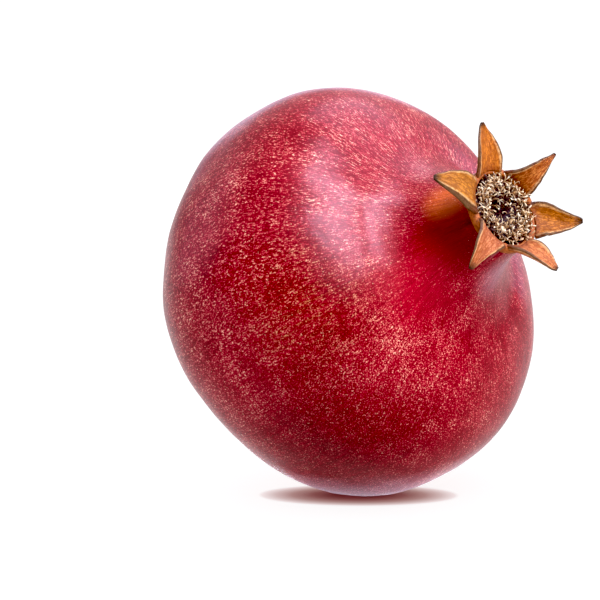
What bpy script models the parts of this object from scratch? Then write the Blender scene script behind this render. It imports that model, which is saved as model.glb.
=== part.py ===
"""A whole pomegranate as it lies on a table: rind, crown of six dry sepals, dry stamens and stem stub.

Metres, +Z up. The fruit is modelled upright about its own axis, stem end down and crown up, with the
middle of its widest section at the axis empty. The empty then leans it over: the crown points towards
+X and up, and the body stands on a small flat spot in its side. The frame's origin is on the floor,
straight below the middle of the body.

Azimuths go round the fruit's own axis, in degrees, and are 0 on the side that the leaning turns down.
"""

import math
import random
from typing import NamedTuple

import bmesh
import bpy
from mathutils import Matrix, Vector

# How the fruit lies.
AXIS_RISE_DEG = 27.5  # the axis climbs this much from the stem end to the crown
CENTRE_HEIGHT = 0.0496  # the middle of the body over the floor, 1.8 mm less than the body would need

# Body: a squarish egg, each half a superellipse about the widest section.
EQUATOR_RADIUS = 0.0498
CROWN_HALF_HEIGHT = 0.0361
STEM_HALF_HEIGHT = 0.0427
SQUARE_ACROSS = 0.967  # exponents of the superellipse: 1 is a plain ellipse, less is squarer
SQUARE_ALONG = 0.845
STEM_DIMPLE_DEPTH = 0.0014
STEM_DIMPLE_RADIUS = 0.0060

# Flat sides and blunt ridges of the body, as (how many, share of the radius, azimuth of one ridge).
LOBES = ((2, 0.0362, 171.0), (3, 0.0206, 21.0), (5, 0.0122, 53.0))
LOBES_START_RADIUS = 0.014  # on the crown side the section is round inside this radius
LOBES_FULL_RADIUS = 0.032

# Neck and the calyx cup in its end.
SHOULDER_RADIUS = 0.0260  # where the neck's curve leaves the body
SHOULDER_PULL = 0.0090
NECK_PULL = 0.0110
NECK_FLARE = 0.0007
RIM_HEIGHT = 0.0532
RIM_OUTER_RADIUS = 0.0108
RIM_INNER_RADIUS = 0.0092
RIM_ROUNDING = 0.0004
CUP_WALL = ((0.0090, 0.0512), (0.0085, 0.0488), (0.0070, 0.0460), (0.0042, 0.0447))
CUP_FLOOR_HEIGHT = 0.0444

# What lies against its neighbour keeps this gap to it.
GAP = 0.0003

# Crown: a low ring on the rim, and six sepals that leave it.
RING_HEIGHT = 0.0012
SEPAL_ROOT_RADIUS = 0.0100
SEPAL_ROOT_RISE = 0.0009  # of the sepal's root over the ring's underside
SEPAL_HALF_ANGLE_DEG = 28.0
SEPAL_ROOT_THICKNESS = 0.0015
SEPAL_TIP_THICKNESS = 0.0010
SEPAL_EDGE_SHARE = 0.6  # the edge's thickness as a share of the middle's
SEPAL_TIP_HALF_WIDTH = 0.0004
SEPAL_ROWS = 10
SEPAL_COLUMNS = 7

# Stamens: a ring-shaped cushion in the cup, with a pit in it, and the threads that stand out of it.
CUSHION_PROFILE = (
    (0.0000, 0.0490),
    (0.0019, 0.0493),
    (0.0032, 0.0519),
    (0.0050, 0.0540),
    (0.0068, 0.0547),
    (0.0082, 0.0541),
    (0.0088, 0.0522),
    (0.0084, 0.0496),
    (0.0069, 0.0466),
    (0.0041, 0.0451),
    (0.0000, 0.0448),
)
THREAD_COUNT = 88
THREAD_RADIUS = 0.00034
THREAD_LENGTH = (0.0032, 0.0052)
THREAD_RING_RADIUS = (0.0024, 0.0082)
THREAD_KEEP_RADIUS = 0.0088  # no thread reaches further from the axis than this
THREAD_SUNK = 0.0012
THREAD_POINTS = 3
ANTHER_RADIUS = 0.00062
ANTHER_LENGTH = 0.0013
THREAD_SEED = 11

# Stem stub: what the clippers leave of the stalk.
STUB_RADIUS = 0.0023
STUB_COLLAR_RADIUS = 0.0036
STUB_LENGTH = 0.0062
STUB_CUT_SLOPE = 0.18  # the cut runs a little aslant
STUB_RIB_SHARE = 0.07
STUB_RIBS = 5

# How finely the faces follow the shapes.
BODY_STEPS = 72
BODY_ROWS_STEM_SIDE = 14
BODY_ROWS_CROWN_SIDE = 9
NECK_ROWS = 8
SMALL_STEPS = 36
MERGE_DISTANCE = 0.00001


class Sepal(NamedTuple):
    """One lobe of the crown, whose midrib bends from the ring by way of the knee to the tip.

    The knee and the tip are (distance from the axis, sideways, height over the root), in metres, and
    sideways is anticlockwise seen from the crown.
    """

    azimuth: float
    knee: tuple
    tip: tuple
    width: float  # as a share of the full width
    fullness: float  # a high one keeps its width further out
    roll: float  # the tip's turn about the midrib, in degrees
    channel: float  # how much the edges stand over the midrib


SEPALS = (
    Sepal(2.9, (0.0149, 0.0000, 0.0049), (0.0186, 0.0022, 0.0065), 0.89, 1.84, 8.6, 0.0024),
    Sepal(62.1, (0.0144, 0.0011, 0.0012), (0.0183, 0.0003, 0.0083), 1.03, 1.70, 28.0, 0.0037),
    Sepal(126.6, (0.0107, -0.0005, 0.0060), (0.0164, -0.0010, 0.0097), 0.88, 1.13, 3.0, 0.0017),
    Sepal(186.1, (0.0156, -0.0003, 0.0024), (0.0210, -0.0010, 0.0042), 0.96, 1.67, -15.5, 0.0022),
    Sepal(245.0, (0.0164, -0.0001, 0.0039), (0.0239, -0.0001, 0.0014), 1.06, 1.67, -8.5, 0.0011),
    Sepal(305.7, (0.0146, -0.0019, 0.0040), (0.0215, 0.0001, -0.0016), 1.00, 1.46, -12.0, 0.0011),
)


def clear_scene():
    """Empties the scene that Blender starts with."""
    for thing in list(bpy.data.objects):
        bpy.data.objects.remove(thing, do_unlink=True)


def new_collection(name):
    """A collection under the scene's own."""
    made = bpy.data.collections.new(name)
    bpy.context.scene.collection.children.link(made)
    return made


def plain_material(name, colour, roughness):
    """A Principled material of one colour."""
    made = bpy.data.materials.new(name)
    made.use_nodes = True
    shader = made.node_tree.nodes["Principled BSDF"]
    shader.inputs["Base Color"].default_value = (*colour, 1.0)
    shader.inputs["Roughness"].default_value = roughness
    shader.inputs["Metallic"].default_value = 0.0
    return made


def new_object(name, mesh, collection, material=None):
    """An object for the mesh in the collection, shaded smooth with its sharp edges kept."""
    made = bpy.data.objects.new(name, mesh)
    collection.objects.link(made)
    if material:
        mesh.materials.clear()
        mesh.materials.append(material)
    mesh.shade_smooth()
    mesh.set_sharp_from_angle(angle=math.radians(50))
    return made


def evaluated_mesh(source):
    """A mesh of its own from what the object's modifiers or curve settings make."""
    graph = bpy.context.evaluated_depsgraph_get()
    return bpy.data.meshes.new_from_object(source.evaluated_get(graph))


def turned_mesh(outline, steps, closed=False):
    """The outline, as (radius, height) pairs down its outer side, turned about Z.

    A closed outline makes a ring. An open one starts and ends on the axis.
    """
    edges = [(i, i + 1) for i in range(len(outline) - 1)]
    if closed:
        edges.append((len(outline) - 1, 0))
    chain = bpy.data.meshes.new("outline")
    chain.from_pydata([(radius, 0, height) for radius, height in outline], edges, [])
    helper = bpy.data.objects.new("outline", chain)
    bpy.context.scene.collection.objects.link(helper)
    screw = helper.modifiers.new("turn", "SCREW")
    screw.axis = "Z"
    screw.steps = steps
    screw.render_steps = steps
    screw.use_merge_vertices = True
    screw.merge_threshold = MERGE_DISTANCE
    mesh = evaluated_mesh(helper)
    bpy.data.objects.remove(helper, do_unlink=True)
    return mesh


def smooth_step(low, high, value):
    """0 below low, 1 above high, and an S-shaped climb between them."""
    share = min(1.0, max(0.0, (value - low) / (high - low)))
    return share * share * (3 - 2 * share)


def bezier(start, start_pull, end_pull, end, share):
    """A point on the cubic Bezier curve through the four points."""
    back = 1 - share
    return (
        start * back**3
        + start_pull * 3 * back * back * share
        + end_pull * 3 * back * share * share
        + end * share**3
    )


# ---- body, neck and cup ---------------------------------------------------------------------------


def body_point(latitude):
    """(radius, height) on the body's plain outline, and the latitude runs from -pi/2 at the stem."""
    across = math.cos(latitude)
    along = math.sin(latitude)
    half = CROWN_HALF_HEIGHT if along > 0 else STEM_HALF_HEIGHT
    radius = EQUATOR_RADIUS * max(across, 0.0) ** SQUARE_ACROSS
    return Vector((radius, math.copysign(half * abs(along) ** SQUARE_ALONG, along)))


def rind_outline():
    """The rind's outline from the cup's floor, over the rim and down the outside to the stem end."""
    shoulder = math.acos((SHOULDER_RADIUS / EQUATOR_RADIUS) ** (1 / SQUARE_ACROSS))
    start = body_point(shoulder)
    tangent = (body_point(shoulder + 0.001) - start).normalized()
    end = Vector((RIM_OUTER_RADIUS, RIM_HEIGHT - RIM_ROUNDING))
    start_pull = start + tangent * SHOULDER_PULL
    end_pull = end + Vector((NECK_FLARE, -NECK_PULL))

    outline = [Vector((0.0, CUP_FLOOR_HEIGHT))]
    outline += [Vector(point) for point in reversed(CUP_WALL)]
    outline += [
        Vector((RIM_INNER_RADIUS, RIM_HEIGHT - RIM_ROUNDING)),
        Vector((RIM_INNER_RADIUS + RIM_ROUNDING, RIM_HEIGHT)),
        Vector((RIM_OUTER_RADIUS - RIM_ROUNDING, RIM_HEIGHT)),
    ]
    for row in range(NECK_ROWS):
        outline.append(bezier(end, end_pull, start_pull, start, row / NECK_ROWS))
    for row in range(BODY_ROWS_CROWN_SIDE):
        outline.append(body_point(shoulder * (1 - row / BODY_ROWS_CROWN_SIDE)))
    for row in range(BODY_ROWS_STEM_SIDE + 1):
        point = body_point(-math.pi / 2 * row / BODY_ROWS_STEM_SIDE)
        point.y += STEM_DIMPLE_DEPTH * math.exp(-((point.x / STEM_DIMPLE_RADIUS) ** 2))
        outline.append(point)
    outline[-1].x = 0.0
    return outline


def lobe_factor(azimuth, radius, height):
    """What the flat sides and ridges make of the radius there."""
    share = 1.0
    if height > 0:
        share = smooth_step(LOBES_START_RADIUS, LOBES_FULL_RADIUS, radius)
    waves = (
        amount * math.cos(count * (azimuth - math.radians(ridge)))
        for count, amount, ridge in LOBES
    )
    return 1 + share * sum(waves)


def build_rind(collection, floor):
    """The body with its neck and cup, cut flat where it stands."""
    mesh = turned_mesh(rind_outline(), BODY_STEPS)
    for vertex in mesh.vertices:
        x, y, height = vertex.co
        factor = lobe_factor(math.atan2(y, x), math.hypot(x, y), height)
        vertex.co = (x * factor, y * factor, height)
    red = plain_material("rind_red", (0.42, 0.018, 0.040), 0.38)
    rind = new_object("rind", mesh, collection, red)
    cut = rind.modifiers.new("resting_spot", "BOOLEAN")
    cut.operation = "DIFFERENCE"
    cut.object = floor
    return rind


# ---- joining repeats --------------------------------------------------------------------------------


def drop_scraps(mesh):
    """Keeps the largest shell of the mesh, which fills any hollow that joining sealed."""
    work = bmesh.new()
    work.from_mesh(mesh)
    unseen = set(work.verts)
    shells = []
    while unseen:
        shell = {unseen.pop()}
        front = list(shell)
        while front:
            here = front.pop()
            fresh = {edge.other_vert(here) for edge in here.link_edges} & unseen
            unseen -= fresh
            shell |= fresh
            front.extend(fresh)
        shells.append(shell)
    largest = max(shells, key=len)
    scraps = [vertex for vertex in work.verts if vertex not in largest]
    bmesh.ops.delete(work, geom=scraps, context="VERTS")
    work.to_mesh(mesh)
    work.free()


def fused(name, base_mesh, piece_meshes, collection, material):
    """One object of the base and all the pieces, joined by a Boolean union that is applied."""
    pieces = new_collection(name + "_pieces")
    for number, mesh in enumerate(piece_meshes):
        new_object(f"{name}_piece_{number:03d}", mesh, pieces)
    base = bpy.data.objects.new(name + "_base", base_mesh)
    bpy.context.scene.collection.objects.link(base)
    union = base.modifiers.new("join", "BOOLEAN")
    union.operation = "UNION"
    union.operand_type = "COLLECTION"
    union.collection = pieces
    union.solver = "EXACT"
    mesh = evaluated_mesh(base)
    for helper in [base, *pieces.objects]:
        bpy.data.objects.remove(helper, do_unlink=True)
    bpy.data.collections.remove(pieces)
    drop_scraps(mesh)
    return new_object(name, mesh, collection, material)


def lofted_mesh(rings):
    """A closed mesh through rings of equally many points, with its first and last ring filled."""
    work = bmesh.new()
    rows = [[work.verts.new(point) for point in ring] for ring in rings]
    for row, after in zip(rows, rows[1:]):
        for i in range(len(row)):
            j = (i + 1) % len(row)
            work.faces.new((row[i], row[j], after[j], after[i]))
    work.faces.new(rows[0])
    work.faces.new(rows[-1])
    bmesh.ops.recalc_face_normals(work, faces=work.faces)
    mesh = bpy.data.meshes.new("loft")
    work.to_mesh(mesh)
    work.free()
    return mesh


# ---- crown ------------------------------------------------------------------------------------------


def sepal_taper(sepal, share):
    """The sepal's width there as a share of its width at the root, which falls to 0 at the tip."""
    return (1 - share**sepal.fullness) ** 0.9


def sepal_half_width(sepal, share):
    """Half the sepal's width there, with a blunt tip."""
    full = SEPAL_ROOT_RADIUS * math.sin(math.radians(SEPAL_HALF_ANGLE_DEG))
    root = full * (1 + (sepal.width - 1) * min(1.0, 3 * share))
    return (root - SEPAL_TIP_HALF_WIDTH) * sepal_taper(sepal, share) + SEPAL_TIP_HALF_WIDTH


def sepal_section(sepal, share):
    """One closed ring of points round the sepal, at this share of the way from root to tip."""
    root = Vector((SEPAL_ROOT_RADIUS, 0, 0))
    knee = Vector(sepal.knee)
    tip = Vector(sepal.tip)
    middle = root * (1 - share) ** 2 + knee * 2 * share * (1 - share) + tip * share**2
    along = ((knee - root) * (1 - share) + (tip - knee) * share).normalized()
    side = Vector((0, 1, 0))
    side = (side - along * side.dot(along)).normalized()
    turn = Matrix.Rotation(math.radians(sepal.roll) * share, 3, along)
    side = turn @ side
    inward = along.cross(side)

    wrap = SEPAL_ROOT_RADIUS * (1 - math.cos(math.radians(SEPAL_HALF_ANGLE_DEG)))
    wrap *= (1 - share) ** 3
    channel = sepal.channel * 4 * share * (1 - share) * sepal_taper(sepal, share)
    thickness = SEPAL_ROOT_THICKNESS + (SEPAL_TIP_THICKNESS - SEPAL_ROOT_THICKNESS) * share
    half_width = sepal_half_width(sepal, share)

    ring = []
    columns = [2 * i / (SEPAL_COLUMNS - 1) - 1 for i in range(SEPAL_COLUMNS)]
    for face, places in ((1, columns), (-1, reversed(columns))):
        for place in places:
            edge = 1 - (1 - SEPAL_EDGE_SHARE) * place**4
            lift = channel * place**2 + face * thickness / 2 * edge
            spot = middle + side * half_width * place + inward * lift
            spot.x -= wrap * place**2
            ring.append(spot)
    place = Matrix.Rotation(math.radians(sepal.azimuth), 4, "Z")
    place.translation.z = RIM_HEIGHT + GAP + SEPAL_ROOT_RISE
    return [place @ point for point in ring]


def build_crown(collection):
    """The ring and the six sepals, joined."""
    low = RIM_HEIGHT + GAP
    high = low + RING_HEIGHT
    corner = 0.0003
    outline = (
        (RIM_INNER_RADIUS + corner, high),
        (RIM_OUTER_RADIUS - corner, high),
        (RIM_OUTER_RADIUS, high - corner),
        (RIM_OUTER_RADIUS, low + corner),
        (RIM_OUTER_RADIUS - corner, low),
        (RIM_INNER_RADIUS + corner, low),
        (RIM_INNER_RADIUS, low + corner),
        (RIM_INNER_RADIUS, high - corner),
    )
    ring = turned_mesh(outline, SMALL_STEPS, closed=True)
    sepals = [
        lofted_mesh([sepal_section(sepal, row / SEPAL_ROWS) for row in range(SEPAL_ROWS + 1)])
        for sepal in SEPALS
    ]
    orange = plain_material("sepal_orange", (0.44, 0.150, 0.035), 0.62)
    return fused("crown", ring, sepals, collection, orange)


# ---- stamens ----------------------------------------------------------------------------------------


def cushion_height(radius):
    """Height of the cushion's upper side at this distance from the axis."""
    for (near, low), (far, high) in zip(CUSHION_PROFILE, CUSHION_PROFILE[1:]):
        if near <= radius <= far:
            return low + (high - low) * (radius - near) / (far - near)
    return CUSHION_PROFILE[0][1]


def thread_points(number, draw):
    """(place, radius) along one thread, from its sunk root to the end of its anther."""
    share = (number + 0.5) / THREAD_COUNT
    inner, outer = THREAD_RING_RADIUS
    distance = math.sqrt(inner**2 + (outer**2 - inner**2) * share)
    azimuth = number * math.radians(137.508)
    place = Vector((distance * math.cos(azimuth), distance * math.sin(azimuth), 0))
    place.z = cushion_height(distance) - THREAD_SUNK
    outward = Vector((math.cos(azimuth), math.sin(azimuth), 0))
    sideways = Vector((-outward.y, outward.x, 0))
    lean = 0.5 - 0.9 * share + draw.uniform(-0.35, 0.35)
    heading = Vector((0, 0, 1)) + outward * lean + sideways * draw.uniform(-0.7, 0.7)
    curl = sideways * draw.uniform(-0.9, 0.9) - outward * draw.uniform(-0.2, 0.7)
    length = draw.uniform(*THREAD_LENGTH) + THREAD_SUNK
    step = length / (THREAD_POINTS - 1)

    points = [(place.copy(), THREAD_RADIUS)]
    for _ in range(THREAD_POINTS - 1):
        place = place + heading.normalized() * step
        points.append((place.copy(), THREAD_RADIUS))
        heading += curl * 0.6
    ahead = heading.normalized() * ANTHER_LENGTH
    points.append((place + ahead * 0.35, ANTHER_RADIUS))
    points.append((place + ahead, ANTHER_RADIUS * 0.45))
    return [(kept_in(spot, radius), radius) for spot, radius in points]


def kept_in(place, radius):
    """The place, moved towards the axis where it would reach past the cup's wall."""
    limit = THREAD_KEEP_RADIUS - radius
    distance = math.hypot(place.x, place.y)
    if distance <= limit:
        return place
    return Vector((place.x * limit / distance, place.y * limit / distance, place.z))


def thread_mesh(points, section):
    """A three-sided tube along the points, closed at both ends."""
    path = bpy.data.curves.new("thread", "CURVE")
    path.dimensions = "3D"
    path.bevel_mode = "OBJECT"
    path.bevel_object = section
    path.use_fill_caps = True
    spline = path.splines.new("POLY")
    spline.points.add(len(points) - 1)
    for target, (place, radius) in zip(spline.points, points):
        target.co = (*place, 1)
        target.radius = radius
    helper = bpy.data.objects.new("thread", path)
    bpy.context.scene.collection.objects.link(helper)
    bpy.context.view_layer.update()
    mesh = evaluated_mesh(helper)
    bpy.data.objects.remove(helper, do_unlink=True)
    work = bmesh.new()
    work.from_mesh(mesh)
    bmesh.ops.remove_doubles(work, verts=work.verts, dist=MERGE_DISTANCE)
    bmesh.ops.recalc_face_normals(work, faces=work.faces)
    work.to_mesh(mesh)
    work.free()
    return mesh


def triangle_section():
    """A closed three-cornered curve of radius 1, which gives the threads their section."""
    path = bpy.data.curves.new("thread_section", "CURVE")
    spline = path.splines.new("POLY")
    spline.points.add(2)
    for number, target in enumerate(spline.points):
        angle = math.radians(120 * number)
        target.co = (math.cos(angle), math.sin(angle), 0, 1)
    spline.use_cyclic_u = True
    section = bpy.data.objects.new("thread_section", path)
    section.hide_render = True
    bpy.context.scene.collection.objects.link(section)
    return section


def build_stamens(collection):
    """The cushion with all its threads, joined."""
    draw = random.Random(THREAD_SEED)
    section = triangle_section()
    threads = [
        thread_mesh(thread_points(number, draw), section) for number in range(THREAD_COUNT)
    ]
    bpy.data.objects.remove(section, do_unlink=True)
    cushion = turned_mesh(CUSHION_PROFILE, SMALL_STEPS)
    straw = plain_material("stamen_straw", (0.36, 0.235, 0.130), 0.80)
    return fused("stamens", cushion, threads, collection, straw)


# ---- stem stub --------------------------------------------------------------------------------------


def build_stub(collection):
    """The clipped stalk in the dimple at the stem end, pointing down the axis."""
    top = -STEM_HALF_HEIGHT + STEM_DIMPLE_DEPTH - GAP
    neck_height = top - 0.35 * STUB_LENGTH
    outline = (
        (0.0, top),
        (0.6 * STUB_COLLAR_RADIUS, top - 0.0001),
        (STUB_COLLAR_RADIUS, top - 0.0009),
        (0.86 * STUB_COLLAR_RADIUS, top - 0.0016),
        (STUB_RADIUS, neck_height),
        (STUB_RADIUS, top - 0.7 * STUB_LENGTH),
        (1.06 * STUB_RADIUS, top - 0.96 * STUB_LENGTH),
        (0.94 * STUB_RADIUS, top - STUB_LENGTH),
        (0.0, top - STUB_LENGTH),
    )
    mesh = turned_mesh(outline, SMALL_STEPS)
    for vertex in mesh.vertices:
        x, y, height = vertex.co
        below = smooth_step(0, STUB_LENGTH, top - height)
        rib = 1 + STUB_RIB_SHARE * math.cos(STUB_RIBS * math.atan2(y, x))
        slope = STUB_CUT_SLOPE * x * below
        vertex.co = (x * rib, y * rib, height - slope)
    brown = plain_material("stub_brown", (0.16, 0.085, 0.040), 0.85)
    return new_object("stem_stub", mesh, collection, brown)


# ---- the whole fruit --------------------------------------------------------------------------------


def build_floor_cutter(collection):
    """A block whose top is the floor, which cuts the resting spot."""
    side = 4 * EQUATOR_RADIUS
    bpy.ops.mesh.primitive_cube_add(size=side, location=(0, 0, -side / 2))
    cutter = bpy.context.active_object
    cutter.name = "floor_cutter"
    for linked in list(cutter.users_collection):
        linked.objects.unlink(cutter)
    collection.objects.link(cutter)
    cutter.hide_render = True
    cutter.display_type = "WIRE"
    return cutter


def main():
    """Builds the fruit and lays it down."""
    clear_scene()
    fruit = new_collection("pomegranate")
    cutters = new_collection("cutters")
    floor = build_floor_cutter(cutters)

    axis = bpy.data.objects.new("fruit_axis", None)
    fruit.objects.link(axis)
    axis.location = (0, 0, CENTRE_HEIGHT)
    axis.rotation_euler = (0, math.radians(90 - AXIS_RISE_DEG), 0)

    for piece in (
        build_rind(fruit, floor),
        build_crown(fruit),
        build_stamens(fruit),
        build_stub(fruit),
    ):
        piece.parent = axis


main()
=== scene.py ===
"""The looks of a whole ripe pomegranate that lies on its side.

The fruit is modelled upright about its own axis, stem end down and crown up, and then leaned over into
its place on the table. Lengths are in metres and azimuths in degrees round the fruit's own axis, 0 on
the side that the leaning turns down.
"""

from __future__ import annotations

import logging
import math
import random
from collections.abc import Callable, Iterable, Sequence
from dataclasses import dataclass
from enum import Enum

import bmesh
import bpy
from mathutils import Matrix, Vector, noise


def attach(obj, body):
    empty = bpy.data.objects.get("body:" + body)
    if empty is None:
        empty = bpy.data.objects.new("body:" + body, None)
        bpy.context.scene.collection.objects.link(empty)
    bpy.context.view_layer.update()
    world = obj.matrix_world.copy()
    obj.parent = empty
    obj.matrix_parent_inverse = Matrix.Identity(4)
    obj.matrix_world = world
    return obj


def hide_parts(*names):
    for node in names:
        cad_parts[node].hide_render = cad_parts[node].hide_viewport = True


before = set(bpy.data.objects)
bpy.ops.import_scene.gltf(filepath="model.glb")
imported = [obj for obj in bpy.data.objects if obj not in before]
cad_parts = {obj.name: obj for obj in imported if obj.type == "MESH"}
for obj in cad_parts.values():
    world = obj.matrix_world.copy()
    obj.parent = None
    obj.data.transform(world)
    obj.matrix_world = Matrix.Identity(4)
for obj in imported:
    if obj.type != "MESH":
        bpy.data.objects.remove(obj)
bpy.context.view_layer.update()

LOG = logging.getLogger("pomegranate")
BODY = "root"
MM = 0.001

Node = bpy.types.Node
Source = bpy.types.Node | bpy.types.NodeSocket
Tree = bpy.types.NodeTree
Piece = bpy.types.Object


# ---- small tools ------------------------------------------------------------------------------------


def smooth_step(low: float, high: float, value: float) -> float:
    """Climbs in an S from 0 at low to 1 at high.

    Args:
        low: Where the climb starts.
        high: Where it ends.
        value: The place asked about.

    Returns:
        A share from 0 to 1.
    """
    share = min(1.0, max(0.0, (value - low) / (high - low)))
    return share * share * (3 - 2 * share)


def bell(distance: float, width: float) -> float:
    """A bell curve: 1 at distance 0, and about a third at the width."""
    return math.exp(-((distance / width) ** 2))


def azimuth_gap(one: float, other: float) -> float:
    """The signed angle in degrees from other to one, the short way round."""
    return (one - other + 180) % 360 - 180


def polar(point: Vector) -> tuple[float, float]:
    """A point's azimuth in radians and its distance from Z."""
    return math.atan2(point.y, point.x), math.hypot(point.x, point.y)


def smooth_floor(height: float, blend: float) -> float:
    """Presses a height up to the floor at 0, with a soft edge.

    Args:
        height: The height of the point before.
        blend: How far over and under the floor the soft edge reaches.

    Returns:
        The height after, never under 0.
    """
    overlap = max(blend - abs(height), 0.0) / blend
    return max(height, 0.0) + overlap * overlap * blend / 4


def linear_colour(code: str) -> tuple[float, float, float, float]:
    """Turns an sRGB hex colour into linear red, green, blue and alpha.

    Args:
        code: The colour, such as "#B01030".

    Returns:
        The four numbers that a colour socket takes.
    """
    shares = [int(code[i : i + 2], 16) / 255 for i in (1, 3, 5)]
    red, green, blue = (
        share / 12.92 if share <= 0.04045 else ((share + 0.055) / 1.055) ** 2.4 for share in shares
    )
    return red, green, blue, 1.0


def cleared_tree(owner: bpy.types.Material | bpy.types.World) -> Tree:
    """Empties the node tree of a new material or world.

    Args:
        owner: The material or world.

    Returns:
        Its node tree.
    """
    owner.use_nodes = True
    owner.node_tree.nodes.clear()
    return owner.node_tree


def add_node(
    tree: Tree,
    kind: str,
    values: dict[str | int, object],
    stops: Sequence[tuple[float, str]] = (),
    **settings: object,
) -> Node:
    """Adds a node with its settings, input values and links.

    Args:
        tree: The node tree that gets the node.
        kind: The node's type name after "ShaderNode".
        values: By input name or number: an output to link, a node whose first output in use is
            linked, a hex colour, or a value.
        stops: Places and hex colours of a colour ramp.
        **settings: The node's own properties.

    Returns:
        The new node.
    """
    node = tree.nodes.new(f"ShaderNode{kind}")
    for name, value in settings.items():
        setattr(node, name, value)
    for name, value in values.items():
        if isinstance(value, bpy.types.Node):
            value = next(output for output in value.outputs if output.enabled)
        if isinstance(value, bpy.types.NodeSocket):
            tree.links.new(value, node.inputs[name])
        elif isinstance(value, str):
            node.inputs[name].default_value = linear_colour(value)
        else:
            node.inputs[name].default_value = value
    if stops:
        elements = node.color_ramp.elements
        while len(elements) < len(stops):
            elements.new(1.0)
        for element, (place, code) in zip(elements, stops):
            element.position = place
            element.color = linear_colour(code)
    return node


def deselect_all() -> None:
    """Leaves nothing selected, the frame's own nodes included."""
    bpy.ops.object.select_all(action="DESELECT")


def make_active(piece: Piece) -> None:
    """Selects the piece alone and makes it the active one.

    Args:
        piece: The mesh object.
    """
    deselect_all()
    piece.select_set(True)
    bpy.context.view_layer.objects.active = piece


def soften(piece: Piece, levels: int) -> None:
    """Rounds the piece by subdivision, and applies all of its modifiers in order.

    Args:
        piece: The mesh object.
        levels: How many times its faces are cut in four.
    """
    soft = piece.modifiers.new("soft", "SUBSURF")
    soft.levels = levels
    soft.render_levels = levels
    make_active(piece)
    for modifier in list(piece.modifiers):
        bpy.ops.object.modifier_apply(modifier=modifier.name)


def close_and_face_out(piece: Piece) -> None:
    """Merges the piece's doubled points and turns all its faces outwards.

    Args:
        piece: The mesh object.
    """
    make_active(piece)
    bpy.ops.object.mode_set(mode="EDIT")
    bpy.ops.mesh.select_all(action="SELECT")
    bpy.ops.mesh.remove_doubles(threshold=0.002 * MM)
    bpy.ops.mesh.normals_make_consistent(inside=False)
    bpy.ops.object.mode_set(mode="OBJECT")


def spun(name: str, outline: Iterable[Sequence[float]], steps: int) -> Piece:
    """Draws an outline by extruding a single point, and spins it round Z.

    Args:
        name: The new object's name.
        outline: Points as (distance from the axis, height).
        steps: How many steps go round.

    Returns:
        The closed, turned piece, with its faces outwards.
    """
    points = [Vector(pair) for pair in outline]
    deselect_all()
    bpy.ops.mesh.primitive_plane_add(size=MM)
    piece = bpy.context.active_object
    piece.name = name
    bpy.ops.object.mode_set(mode="EDIT")
    bpy.ops.mesh.merge(type="CENTER")
    bpy.ops.transform.translate(value=Vector((points[0].x, 0, points[0].y)))
    for before, after in zip(points, points[1:]):
        step = Vector((after.x - before.x, 0, after.y - before.y))
        bpy.ops.mesh.extrude_region_move(TRANSFORM_OT_translate={"value": step})
    bpy.ops.mesh.select_all(action="SELECT")
    bpy.ops.mesh.spin(steps=steps, angle=math.tau, center=(0, 0, 0), axis=(0, 0, 1))
    bpy.ops.object.mode_set(mode="OBJECT")
    close_and_face_out(piece)
    return piece


def move_points(piece: Piece, rule: Callable[[Vector], Vector]) -> None:
    """Moves every point of a piece's mesh.

    Args:
        piece: The mesh object.
        rule: Takes a point to its new place.
    """
    for vertex in piece.data.vertices:
        vertex.co = rule(vertex.co)
    piece.data.update()


def push_along_normals(piece: Piece, rule: Callable[[Vector], float]) -> None:
    """Raises every point of a piece's mesh along its normal.

    Args:
        piece: The mesh object.
        rule: Gives the lift at a point.
    """
    mesh = piece.data
    pushes = [vertex.normal * rule(vertex.co) for vertex in mesh.vertices]
    for vertex, push in zip(mesh.vertices, pushes):
        vertex.co += push
    mesh.update()


def fruit_group() -> bpy.types.Collection:
    """The group of all of the fruit's pieces, which the lamps are kept to."""
    name = "fruit"
    return bpy.data.collections.get(name) or bpy.data.collections.new(name)


def set_piece(
    piece: Piece, nodes: Iterable[str], materials: Sequence[bpy.types.Material]
) -> None:
    """Dresses a finished piece and ties it to the frame.

    Args:
        piece: The finished mesh object.
        nodes: The frame's nodes that it stands for.
        materials: Its materials, in the order of its faces' material numbers.
    """
    piece.data.materials.clear()
    for material in materials:
        piece.data.materials.append(material)
    piece.data.shade_smooth()
    fruit_group().objects.link(piece)
    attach(piece, BODY)
    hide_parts(*nodes)
    LOG.info("%s: %d faces", piece.name, len(piece.data.polygons))


# ---- the fruit's measures ---------------------------------------------------------------------------


@dataclass(frozen=True)
class FruitAxis:
    """How the fruit lies.

    Attributes:
        centre_height: Height of the body's middle over the floor.
        rise: How steeply the axis climbs from the stem end to the crown, in degrees.
    """

    centre_height: float = 49.6 * MM
    rise: float = 27.5

    def matrix(self) -> Matrix:
        """Takes a point of the upright fruit to its place."""
        lean = Matrix.Rotation(math.radians(90 - self.rise), 4, "Y")
        return Matrix.Translation((0, 0, self.centre_height)) @ lean

    def local_millimetres(self, tree: Tree) -> Node:
        """Adds the nodes that give a place on the upright fruit in millimetres.

        Args:
            tree: The material's node tree.

        Returns:
            The place.
        """
        where = add_node(tree, "TexCoord", {})
        values = {
            "Vector": where.outputs["Object"],
            "Location": (0, 0, self.centre_height),
            "Rotation": (0, math.radians(90 - self.rise), 0),
            "Scale": (MM, MM, MM),
        }
        return add_node(tree, "Mapping", values, vector_type="TEXTURE")


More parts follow.
